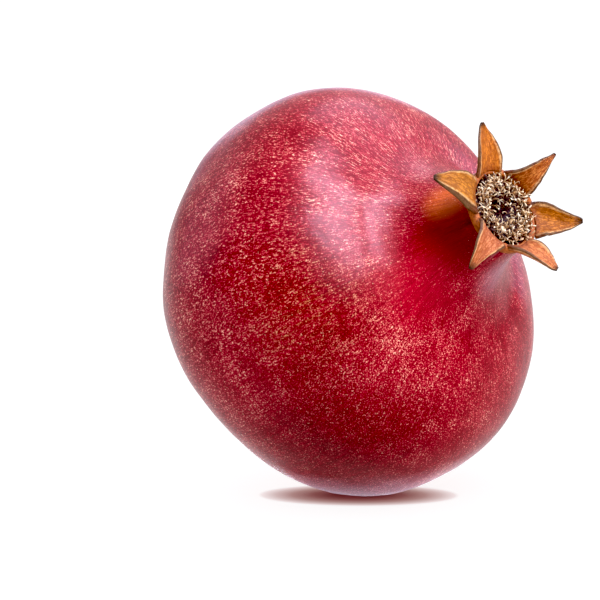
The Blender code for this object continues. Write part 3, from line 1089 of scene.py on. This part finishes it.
@dataclass
class Crown:
    """The ring on the neck's rim and its six dry sepals.

    Attributes:
        axis: How the fruit lies.
        shape: The fruit's measures.
        gap: Gap between the rim and the ring in the solids.
        ring_height: Height of the ring.
        root_radius: Distance of the sepals' roots from the axis.
        root_rise: Height of their roots over the ring's underside.
        half_angle: Half the angle that a sepal's root takes up, in degrees.
        root_thickness: A sepal's thickness at its root.
        tip_thickness: Its thickness at its tip.
        ripple: How far its small waves stand out.
        buckle: How far its long waves stand out at its tip.
        ragged: How far its edges stray.
        columns: Faces across a sepal.
        rows: Faces along it.
        outside: Finish of all the sepals' outer faces.
    """

    axis: FruitAxis
    shape: Shape
    gap: float = 0.3 * MM
    ring_height: float = 1.2 * MM
    root_radius: float = 10.0 * MM
    root_rise: float = 0.9 * MM
    half_angle: float = 28.0
    root_thickness: float = 1.5 * MM
    tip_thickness: float = 0.6 * MM
    ripple: float = 0.16 * MM
    buckle: float = 0.30 * MM
    ragged: float = 0.22 * MM
    columns: int = 18
    rows: int = 34
    outside: SepalFinish = SepalFinish("dry_sepal_outside", "#7C421C", "#3C1C0C")

    def sepals(self) -> list[Sepal]:
        """Lists the six sepals, from a table in millimetres.

        Returns:
            The sepals in their order round the ring.
        """
        tan = SepalFinish("dry_sepal_tan", "#C67A2C", "#8C4C14")
        orange = SepalFinish("dry_sepal_orange", "#CE7A2C", "#98501A")
        russet = SepalFinish("dry_sepal_russet", "#CC7E40", "#8A4018")
        rosy = SepalFinish("dry_sepal_rosy", "#CC7E54", "#984A20")
        folded = SepalFinish("dry_sepal_folded", "#C8802C", "#8C5014", fold=0.13)
        amber = SepalFinish("dry_sepal_amber", "#DC8A50", "#A25424")
        rows = (
            ("low_right", 2.9, (14.9, 0, 4.9), (18.6, 2.2, 6.5), 0.45, 0.89, 1.84, 8.6, 2.4, amber, 0),
            ("right", 62.1, (14.4, 1.1, 1.2), (18.3, 0.3, 8.3), 0.45, 1.03, 1.70, 28.0, 3.7, tan, 0),
            ("far", 126.6, (10.7, -0.5, 6.0), (16.4, -1.0, 9.7), 0.1, 0.88, 1.13, 3.0, 1.7, russet, 0),
            ("top", 186.1, (15.6, -0.3, 2.4), (21.0, -1.0, 4.2), 0.1, 0.96, 1.67, -15.5, 2.2, orange, 0),
            ("left", 245.0, (16.4, -0.1, 3.9), (23.9, -0.1, 1.4), 0.45, 1.06, 1.67, -8.5, 1.1, folded, 1.2),
            ("low_left", 305.7, (14.6, -1.9, 4.0), (21.5, 0.1, -1.6), 0.3, 1.0, 1.46, -12.0, 1.1, rosy, 0),
        )
        return [
            Sepal(
                f"sepal_{name}",
                azimuth,
                tuple(value * MM for value in knee),
                tuple(value * MM for value in tip),
                end * MM,
                width,
                fullness,
                roll,
                channel * MM,
                finish,
                curl * MM,
            )
            for name, azimuth, knee, tip, end, width, fullness, roll, channel, finish, curl in rows
        ]

    def sheet_point(self, sepal: Sepal, place: float, share: float) -> Vector:
        """A point on the sepal's middle sheet.

        Args:
            sepal: The sepal.
            place: From -1 at its clockwise edge to 1 at the other.
            share: From 0 at its root to 1 at its tip.

        Returns:
            The point on the upright fruit.
        """
        root = Vector((self.root_radius, 0, 0))
        knee, tip = Vector(sepal.knee), Vector(sepal.tip)
        middle = root * (1 - share) ** 2 + knee * 2 * share * (1 - share) + tip * share**2
        along = ((knee - root) * (1 - share) + (tip - knee) * share).normalized()
        side = Vector((0, 1, 0))
        side = (side - along * side.dot(along)).normalized()
        side = Matrix.Rotation(math.radians(sepal.roll) * share, 3, along) @ side
        inward = along.cross(side)

        taper = (1 - share**sepal.fullness) ** 0.9
        full = self.root_radius * math.sin(math.radians(self.half_angle))
        full *= 1 + (sepal.width - 1) * min(1.0, 3 * share)
        half_width = (full - sepal.tip_half_width) * taper + sepal.tip_half_width
        wrap = self.root_radius * (1 - math.cos(math.radians(self.half_angle))) * (1 - share) ** 3
        lift = sepal.channel * 4 * share * (1 - share) * taper * place**2
        lift -= sepal.curl * smooth_step(0.45, 1.0, place) * smooth_step(0, 0.25, share) * taper
        seed = sepal.azimuth
        lift += self.ripple * noise.noise(Vector((place * 5, share * 1.5, seed)))
        lift += self.buckle * noise.noise(Vector((place * 1.5, share * 4, seed + 9))) * share
        ragged = self.ragged * noise.noise(Vector((math.copysign(3, place), share * 9, seed)))
        spot = middle + side * (half_width * place + ragged * abs(place) ** 3) + inward * lift
        spot.x -= wrap * place**2
        turn = Matrix.Rotation(math.radians(sepal.azimuth), 4, "Z")
        turn.translation.z = self.shape.rim_height + self.gap + self.root_rise
        return turn @ spot

    def build_sepal(self, sepal: Sepal) -> None:
        """Models and dresses one sepal from a grid that is bent, thickened and smoothed.

        Args:
            sepal: The sepal.
        """
        deselect_all()
        bpy.ops.mesh.primitive_grid_add(
            x_subdivisions=self.columns, y_subdivisions=self.rows, size=2, calc_uvs=True
        )
        piece = bpy.context.active_object
        piece.name = sepal.name
        group = piece.vertex_groups.new(name="thickness")
        for vertex in piece.data.vertices:
            place, share = vertex.co.x, (vertex.co.y + 1) / 2
            thickness = self.root_thickness + (self.tip_thickness - self.root_thickness) * share
            # The edges are about half as thick as the midrib.
            thickness *= 1 - 0.45 * abs(place) ** 4
            group.add([vertex.index], thickness / self.root_thickness, "REPLACE")
            vertex.co = self.sheet_point(sepal, place, share)
        wall = piece.modifiers.new("wall", "SOLIDIFY")
        wall.thickness = self.root_thickness
        wall.offset = 0
        wall.vertex_group = "thickness"
        wall.material_offset = 1
        wall.material_offset_rim = 1
        soften(piece, 1)
        piece.data.transform(self.axis.matrix())
        materials = [sepal.finish.material(), self.outside.material()]
        set_piece(piece, ["crown"], materials)

    def build_ring(self) -> None:
        """Models and dresses the ring that the sepals leave."""
        low = self.shape.rim_height - 0.6 * MM
        high = self.shape.rim_height + self.gap + self.ring_height
        inner, outer = self.shape.rim_inner, self.shape.rim_outer
        bevel = 0.35 * MM
        outline = (
            (inner, low),
            (inner, high - bevel),
            (inner + bevel, high),
            (outer - bevel, high),
            (outer + 0.05 * MM, high - bevel),
            (outer + 0.12 * MM, (low + high) / 2),
            (outer + 0.02 * MM, low),
            (inner, low),
        )
        piece = spun("calyx_ring", outline, 120)
        push_along_normals(piece, lambda point: 0.12 * MM * noise.noise(point * 500))
        piece.data.transform(self.axis.matrix())
        finish = DryTissueFinish("dry_calyx_ring", "#7A3A16", "#B4642A", 0.9, 0.25)
        set_piece(piece, ["crown"], [finish.material()])

    def build(self) -> None:
        """Builds the ring and every sepal."""
        self.build_ring()
        for sepal in self.sepals():
            self.build_sepal(sepal)


# ---- stamens ----------------------------------------------------------------------------------------


@dataclass
class Stamens:
    """The dry stamens that fill the cup: a dark cushion under a tangle of curled threads.

    Attributes:
        axis: How the fruit lies.
        outline: The cushion's outline as (distance from the axis, height) in millimetres.
        count: How many threads there are.
        segments: Faces along one thread.
        radius: A thread's radius.
        ring: Where threads are rooted, as the least and the greatest distance from the axis.
        keep: No thread reaches further from the axis than this.
        spread: The angle between one thread's azimuth and the next one's, which never lines them up.
        lengths: The shortest and the longest thread, in millimetres.
        curls: The least and the greatest turn from a thread's root to its end, in radians.
        swellings: How much thicker a thread may be near its end, each as likely as the next.
        seed: For the random draws.
    """

    axis: FruitAxis
    outline: tuple = (
        (0.0, 49.0),
        (1.9, 49.3),
        (3.2, 51.9),
        (5.0, 53.6),
        (6.8, 54.2),
        (8.2, 53.7),
        (8.8, 52.2),
        (8.4, 49.6),
        (6.9, 46.6),
        (4.1, 45.1),
        (0.0, 44.8),
    )
    count: int = 780
    segments: int = 9
    radius: float = 0.10 * MM
    ring: tuple[float, float] = (1.6 * MM, 8.7 * MM)
    keep: float = 9.6 * MM
    spread: float = math.radians(137.508)
    lengths: tuple[float, float] = (2.0, 4.4)
    curls: tuple[float, float] = (1.2, 5.6)
    swellings: tuple = (0.0, 0.0, 1.2, 1.8)
    seed: int = 11

    def cushion_height(self, distance: float) -> float:
        """Finds how high the cushion's upper side is.

        Args:
            distance: From the axis, within the cushion.

        Returns:
            The height.
        """
        for (near, low), (far, high) in zip(self.outline, self.outline[1:]):
            if near * MM <= distance <= far * MM:
                return (low + (high - low) * (distance / MM - near) / (far - near)) * MM
        raise ValueError("the cushion doesn't reach that far")

    def thread_path(self, number: int, draw: random.Random) -> list[Vector]:
        """The points that one thread's middle line runs through.

        Args:
            number: The thread's number, from the pit outwards.
            draw: Where its random draws come from.

        Returns:
            One point more than there are segments.
        """
        share = (number + 0.5) / self.count
        near, far = self.ring
        distance = math.sqrt(near**2 + (far**2 - near**2) * share)
        azimuth = number * self.spread
        outward = Vector((math.cos(azimuth), math.sin(azimuth), 0))
        sideways = Vector((-outward.y, outward.x, 0))
        place = outward * distance
        place.z = self.cushion_height(distance) - 0.4 * MM
        # The inner threads lean outwards, over the pit's edge, and the outer ones a little inwards.
        lean = 0.75 - 1.1 * share + draw.uniform(-0.6, 0.6)
        heading = Vector((0, 0, 1)) + outward * lean + sideways * draw.uniform(-1.0, 1.0)
        heading.normalize()
        axis = Vector((draw.uniform(-1, 1), draw.uniform(-1, 1), draw.uniform(-0.6, 0.6)))
        axis.normalize()
        length = draw.uniform(*self.lengths) * MM
        total_turn = draw.uniform(*self.curls)
        path = [place.copy()]
        for step in range(self.segments):
            place = place + heading * (length / self.segments)
            across = math.hypot(place.x, place.y)
            if across > self.keep:
                place.x *= self.keep / across
                place.y *= self.keep / across
            path.append(place.copy())
            # It curls ever tighter towards its end.
            turn = total_turn * 2 * (step + 1) / self.segments**2
            heading = Matrix.Rotation(turn, 3, axis) @ heading
        return path

    def straight_thread(self) -> Piece:
        """Models one thread along Z from 0 to 1.

        Returns:
            The thread, with a UV map for its bent copies to fill.
        """
        deselect_all()
        bpy.ops.mesh.primitive_cylinder_add(
            vertices=5, radius=self.radius, depth=1, location=(0, 0, 0.5), end_fill_type="TRIFAN"
        )
        thread = bpy.context.active_object
        bpy.ops.object.mode_set(mode="EDIT")
        shell = bmesh.from_edit_mesh(thread.data)
        for edge in shell.edges:
            low, high = sorted(vertex.co.z for vertex in edge.verts)
            edge.select_set(high - low > 0.4)
        bmesh.update_edit_mesh(thread.data)
        bpy.ops.mesh.subdivide(number_cuts=self.segments - 1)
        bpy.ops.object.mode_set(mode="OBJECT")
        thread.data.transform(thread.matrix_world)
        thread.matrix_world = Matrix()
        return thread

    def bent(self, straight: Piece, path: Sequence[Vector], tone: float, swelling: float) -> Piece:
        """Copies the straight thread and bends the copy along a path.

        Args:
            straight: The thread along Z.
            path: The points of its new middle line.
            tone: The copy's own tone, from 0 to 1.
            swelling: How much thicker it is near its end.

        Returns:
            The bent copy.
        """
        mesh = straight.data.copy()
        frames = []
        side = Vector((1, 0, 0))
        for number, point in enumerate(path):
            ahead = path[min(number + 1, len(path) - 1)] - path[max(number - 1, 0)]
            ahead.normalize()
            side = (side - ahead * side.dot(ahead)).normalized()
            frames.append((point, side.copy(), ahead.cross(side)))
        shares = [vertex.co.z for vertex in mesh.vertices]
        for vertex in mesh.vertices:
            x, y, z = vertex.co
            point, one, other = frames[round(z * self.segments)]
            # It tapers all the way, and a swelling sits just short of its end.
            scale = 1.15 - 0.45 * z + swelling * bell(z - 0.92, 0.10)
            vertex.co = point + (one * x + other * y) * scale
        layer = mesh.uv_layers.active
        for loop in mesh.loops:
            layer.data[loop.index].uv = (tone, shares[loop.vertex_index])
        copy = bpy.data.objects.new("thread", mesh)
        bpy.context.scene.collection.objects.link(copy)
        return copy

    def build_threads(self) -> None:
        """Builds all the threads and joins them into one tangle."""
        draw = random.Random(self.seed)
        straight = self.straight_thread()
        threads = []
        for number in range(self.count):
            path = self.thread_path(number, draw)
            swelling = draw.choice(self.swellings)
            threads.append(self.bent(straight, path, draw.random(), swelling))
        bpy.data.objects.remove(straight, do_unlink=True)
        deselect_all()
        for thread in threads:
            thread.select_set(True)
        piece = threads[0]
        bpy.context.view_layer.objects.active = piece
        bpy.ops.object.join()
        piece.name = piece.data.name = "stamen_threads"
        piece.data.transform(self.axis.matrix())
        set_piece(piece, ["stamens"], [ThreadFinish().material()])

    def build_cushion(self) -> None:
        """Builds the dark cushion that the threads stand in."""
        outline = [(distance * MM, height * MM) for distance, height in self.outline]
        piece = spun("stamen_cushion", outline, 72)
        soften(piece, 2)
        push_along_normals(piece, lambda point: 0.45 * MM * noise.noise(point * 900))
        piece.data.transform(self.axis.matrix())
        finish = DryTissueFinish("dry_stamen_bed", "#14040A", "#40161E", 0.5, 0.5)
        set_piece(piece, ["stamens"], [finish.material()])

    def build(self) -> None:
        """Builds the cushion and the threads."""
        self.build_cushion()
        self.build_threads()


# ---- stem stub --------------------------------------------------------------------------------------


@dataclass
class StemStub:
    """What the clippers leave of the stalk, in the dimple at the stem end.

    Attributes:
        axis: How the fruit lies.
        shape: The fruit's measures.
        radius: The stalk's radius.
        collar: Radius of the collar where it joins the fruit.
        length: Its length.
        slope: How much the cut runs aslant.
    """

    axis: FruitAxis
    shape: Shape
    radius: float = 2.3 * MM
    collar: float = 3.6 * MM
    length: float = 6.2 * MM
    slope: float = 0.18

    def outline(self) -> list[tuple[float, float]]:
        """Draws the outline from the top of the collar to the cut end's middle.

        Returns:
            Points as (distance from the axis, height).
        """
        top = self.shape.dimple_floor() - 0.1 * MM
        steps = (
            (0.0, 0.0),
            (0.6 * self.collar, 0.05 * MM),
            (self.collar, 0.8 * MM),
            (0.95 * self.collar, 1.2 * MM),
            (0.78 * self.collar, 1.6 * MM),
            (1.05 * self.radius, 2.3 * MM),
            (self.radius, 3.2 * MM),
            (self.radius, 4.4 * MM),
            (1.04 * self.radius, 5.5 * MM),
            (1.05 * self.radius, self.length - 0.15 * MM),
            (0.95 * self.radius, self.length),
            (0.6 * self.radius, self.length),
            (0.0, self.length),
        )
        return [(distance, top - depth) for distance, depth in steps]

    def barked(self, point: Vector) -> Vector:
        """Moves a point of the round stub out or in to its bark, and along the slope of the cut.

        Args:
            point: A point of the upright stub.

        Returns:
            Its new place.
        """
        # Five soft ribs, with rough bark over them.
        rib = 1 + 0.06 * math.cos(5 * polar(point)[0]) + 0.05 * noise.noise(point * 1500)
        share = smooth_step(0, self.length, self.shape.dimple_floor() - point.z)
        slope = self.slope * point.x * share
        return Vector((point.x * rib, point.y * rib, point.z - slope))

    def build(self) -> None:
        """Models and dresses the stub, whose cut face has its own material."""
        piece = spun("stalk_stub", self.outline(), 48)
        soften(piece, 2)
        cut = self.shape.dimple_floor() - self.length + 0.02 * MM
        for face in piece.data.polygons:
            face.material_index = int(face.center.z < cut and face.normal.z < -0.9)
        move_points(piece, self.barked)
        piece.data.transform(self.axis.matrix())
        bark = DryTissueFinish("pomegranate_bark", "#4A2E1C", "#94704C", 0.5, 0.35)
        wood = DryTissueFinish("cut_pomegranate_wood", "#B89A6C", "#DCC79C", 0.35, 0.08)
        set_piece(piece, ["stem_stub"], [bark.material(), wood.material()])


# ---- the studio -------------------------------------------------------------------------------------


class Reach(Enum):
    """What a lamp adds to the fruit: only its gloss or only its matt light."""

    GLOSS = "gloss"
    MATT = "matt"


@dataclass(frozen=True)
class Softbox:
    """A square or oblong soft light.

    Attributes:
        name: Its name.
        azimuth: The side of the fruit that it stands on, in degrees as the camera's.
        rise: How high it stands over the fruit, in degrees.
        size: Width and height.
        watts: Its power.
        tint: Its colour.
        reach: What it adds to.
        distance: From the fruit.
    """

    name: str
    azimuth: float
    rise: float
    size: tuple[float, float]
    watts: float
    tint: str
    reach: Reach = Reach.GLOSS
    distance: float = 2.2


@dataclass
class Studio:
    """A white table in a white room, lit by large soft lights, and the camera.

    Attributes:
        axis: How the fruit lies.
        camera_azimuth: The camera's side, in degrees, where 0 looks along +Y.
        camera_rise: How high it stands, in degrees.
        distance: From the middle of the fruit.
        focal_length: In millimetres on a sensor of the width below.
        sensor_width: In millimetres.
        aim_left: How far left of the fruit's middle it aims.
        aim_below: How far below the middle it aims.
        softboxes: The lamps.
        backdrop_azimuth: The side on which the room is brightest.
        backdrop_rise: How high the brightest part is.
        table_size: Width of the table.
        table_glow: How much the light table under the fruit gives of its own.
        shade_size: Half the width and depth of the oval of painted shadow in the table's glow, where the
            fruit's contact shadow would fall.
        shade_place: How far its middle is from the resting spot, to the right and forwards.
        shade_stops: The glow's colours from the painted shadow's middle to its edge.
        lit_reach: Radius of the spot of painted light, paler than the painted shadow round it, that the
            fruit all but hides.
        lit_place: How far its middle is from the resting spot, to the right and forwards.
        black_level: Light up to this level shows as black, which clears a thin veil of it.
        dim: Brightness of the room where it is dimmest.
        bright: Brightness where it is brightest.
    """

    axis: FruitAxis
    camera_azimuth: float = 42.5
    camera_rise: float = 10.0
    distance: float = 0.9
    focal_length: float = 216.0
    sensor_width: float = 36.0
    aim_left: float = 13.76 * MM
    aim_below: float = 2.98 * MM
    softboxes: tuple[Softbox, ...] = (
        Softbox("key_softbox", 84, 62, (0.6, 2.1), 185.0, "#EAE2FF"),
        Softbox("over_softbox", 180, 54, (2.2, 1.2), 42.0, "#E6DEFF"),
        Softbox("back_softbox", 228, 8, (1.1, 0.5), 3.2, "#E6DEFF"),
        Softbox("left_softbox", 288, 20, (1.2, 1.6), 7.5, "#E6DEFF"),
        Softbox("right_softbox", 186, 12, (0.5, 1.0), 4.5, "#E0D4FF"),
        Softbox("under_softbox", 221, -31, (0.6, 0.9), 115.0, "#EEDCF4"),
        Softbox("front_softbox", 78, 38, (1.6, 1.6), 70.0, "#FFFCFA", Reach.MATT),
    )
    backdrop_azimuth: float = 222.0
    backdrop_rise: float = 74.0
    table_size: float = 12.0
    table_glow: float = 0.90
    shade_size: tuple[float, float] = (25.0 * MM, 11.8 * MM)
    shade_place: tuple[float, float] = (1.0 * MM, 14.6 * MM)
    shade_stops: tuple[tuple[float, str], ...] = (
        (0.26, "#6A3434"),
        (0.46, "#865452"),
        (0.66, "#A88480"),
        (0.82, "#CEB8B6"),
        (0.96, "#F0E6E6"),
        (1.00, "#FFFFFF"),
    )
    lit_reach: float = 10.5 * MM
    lit_place: tuple[float, float] = (1.5 * MM, 5.0 * MM)
    black_level: float = 0.022
    dim: float = 0.36
    bright: float = 1.15

    @staticmethod
    def direction(azimuth: float, rise: float) -> Vector:
        """The unit vector from the fruit towards a place round it."""
        turn, tilt = math.radians(azimuth), math.radians(rise)
        return Vector(
            (math.sin(turn) * math.cos(tilt), -math.cos(turn) * math.cos(tilt), math.sin(tilt))
        )

    def middle(self) -> Vector:
        """The middle of the fruit."""
        return Vector((0, 0, self.axis.centre_height))

    def on_table(self, place: tuple[float, float]) -> Vector:
        """Finds a place on the table.

        Args:
            place: How far it is to the right and forwards of the resting spot.

        Returns:
            The point.
        """
        aside, forwards = place
        turn = Matrix.Rotation(math.radians(self.camera_azimuth), 3, "Z")
        return turn @ Vector((aside, -forwards, 0))

    def build_camera(self) -> None:
        """Places the camera."""
        back = self.direction(self.camera_azimuth, self.camera_rise)
        turn = math.radians(self.camera_azimuth)
        right = Vector((math.cos(turn), math.sin(turn), 0))
        up = back.cross(right)
        place = self.middle() + back * self.distance
        target = self.middle() - right * self.aim_left - up * self.aim_below
        lens = bpy.data.cameras.new("camera")
        lens.sensor_width = self.sensor_width
        lens.lens = self.focal_length
        camera = bpy.data.objects.new("camera", lens)
        bpy.context.scene.collection.objects.link(camera)
        camera.location = place
        camera.rotation_euler = (target - place).to_track_quat("-Z", "Y").to_euler()
        bpy.context.scene.camera = camera

    def build_lights(self) -> None:
        """Hangs the softboxes, turned to the fruit alone; the table doesn't stop their light."""
        for box in self.softboxes:
            lamp = bpy.data.lights.new(box.name, "AREA")
            lamp.shape = "RECTANGLE"
            lamp.size, lamp.size_y = box.size
            lamp.energy = box.watts
            lamp.color = linear_colour(box.tint)[:3]
            light = bpy.data.objects.new(box.name, lamp)
            bpy.context.scene.collection.objects.link(light)
            light.light_linking.receiver_collection = fruit_group()
            light.light_linking.blocker_collection = fruit_group()
            light.visible_diffuse = box.reach is Reach.MATT
            light.visible_glossy = box.reach is Reach.GLOSS
            direction = self.direction(box.azimuth, box.rise)
            light.location = self.middle() + direction * box.distance
            light.rotation_euler = (-direction).to_track_quat("-Z", "Y").to_euler()

    def opal_glass(self) -> bpy.types.Material:
        """Makes the light table's opal glass, which glows but for a soft oval of painted shadow at the
        fruit, with a spot of painted light in it that the fruit all but hides.

        Returns:
            The material.
        """
        made = bpy.data.materials.new("lit_opal_table")
        tree = cleared_tree(made)
        place = add_node(tree, "TexCoord", {}).outputs["Object"]
        # The oval is a painted contact shadow: the table's glow is dimmed there instead of the fruit
        # casting it.
        values = {
            "Vector": place,
            "Location": self.on_table(self.shade_place),
            "Rotation": (0, 0, math.radians(self.camera_azimuth)),
            "Scale": (*self.shade_size, 1),
        }
        oval = add_node(tree, "Mapping", values, vector_type="TEXTURE")
        share = add_node(tree, "VectorMath", {0: oval}, operation="LENGTH")
        shade = add_node(tree, "ValToRGB", {"Fac": share}, self.shade_stops)
        # A spot of painted light under the fruit pales the painted shadow there.
        values = {0: place, 1: self.on_table(self.lit_place)}
        distance = add_node(tree, "VectorMath", values, operation="DISTANCE")
        values = {"Value": distance, "From Min": self.lit_reach, "From Max": self.lit_reach * 0.8}
        painted_light_spot = add_node(tree, "MapRange", values)
        values = {"Factor": painted_light_spot, 6: shade, 7: "#BCA4AE"}
        glow = add_node(tree, "Mix", values, data_type="RGBA")
        # It lets most of the room's light through, so its own colour is grey.
        values = {
            "Base Color": "#808080",
            "Roughness": 0.9,
            "Specular IOR Level": 0.2,
            "Emission Color": glow,
            "Emission Strength": self.table_glow,
        }
        shader = add_node(tree, "BsdfPrincipled", values)
        add_node(tree, "OutputMaterial", {"Surface": shader})
        return made

    def build_room(self) -> None:
        """Lays the white table and whitens the room round it."""
        deselect_all()
        bpy.ops.mesh.primitive_plane_add(size=self.table_size)
        floor = bpy.context.active_object
        floor.name = "floor"
        floor.data.materials.append(self.opal_glass())
        bpy.context.scene.world = self.build_world()
        view = bpy.context.scene.view_settings
        view.view_transform = "Standard"
        view.use_curve_mapping = True
        view.curve_mapping.black_level = (self.black_level,) * 3
        view.curve_mapping.update()

    def build_world(self) -> bpy.types.World:
        """Makes the light of the room, bright over and behind the fruit and dim at the camera.

        Returns:
            The world.
        """
        world = bpy.data.worlds.new("white_room")
        tree = cleared_tree(world)
        brightest = self.direction(self.backdrop_azimuth, self.backdrop_rise)
        where = add_node(tree, "TexCoord", {})
        values = {0: where.outputs["Generated"], 1: brightest}
        facing = add_node(tree, "VectorMath", values, operation="DOT_PRODUCT")
        values = {
            "Value": facing,
            "From Min": 0.1,
            "From Max": 0.9,
            "To Min": self.dim,
            "To Max": self.bright,
        }
        glow = add_node(tree, "MapRange", values, interpolation_type="SMOOTHSTEP")
        sky = add_node(tree, "Background", {"Color": "#FAF8FF", "Strength": glow})
        add_node(tree, "OutputWorld", {"Surface": sky})
        return world

    def build(self) -> None:
        """Builds the room, the lights and the camera."""
        self.build_room()
        self.build_lights()
        self.build_camera()


def main() -> None:
    """Builds every part of the fruit in order, and the studio round it."""
    logging.basicConfig(level=logging.INFO, format="%(name)s %(message)s")
    axis = FruitAxis()
    shape = Shape()
    for part in (
        Rind(axis, shape),
        Crown(axis, shape),
        Stamens(axis),
        StemStub(axis, shape),
        Studio(axis),
    ):
        LOG.info("building %s", type(part).__name__)
        part.build()


if __name__ == "__main__":
    main()
